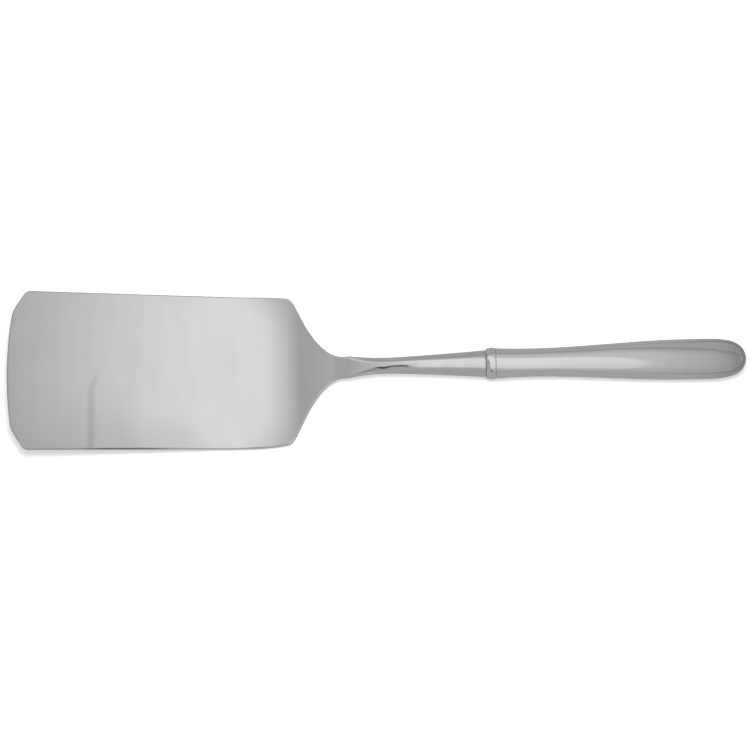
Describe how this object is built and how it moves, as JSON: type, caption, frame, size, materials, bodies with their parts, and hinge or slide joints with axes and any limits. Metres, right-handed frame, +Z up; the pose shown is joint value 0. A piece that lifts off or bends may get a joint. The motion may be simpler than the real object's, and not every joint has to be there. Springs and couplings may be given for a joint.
{
  "type": "lasagna server",
  "caption": "Lasagna server with a broad flat polished blade, a stepped heel, a round forged neck, a plain ferrule and a hollow oval handle that swells to a rounded end.",
  "frame": {"origin": "middle of the server's length and width, on the table it lies on", "axes": "+X from the blade's front edge to the end of the handle, +Y across the blade, +Z up from the table"},
  "size_m": [0.26, 0.059, 0.0116],
  "materials": {
    "steel": "mirror-polished stainless steel with fine wiping marks",
    "silver": "polished silver",
    "solder": "silver solder, buffed flush",
    "cement": "set handle cement, dull and grainy"
  },
  "bodies": {
    "root": {"blade": "steel", "ferrule": "silver", "upper_shell": "silver", "lower_shell": "silver", "seam_solder": "solder", "filler": "cement"}
  },
  "joints": []
}
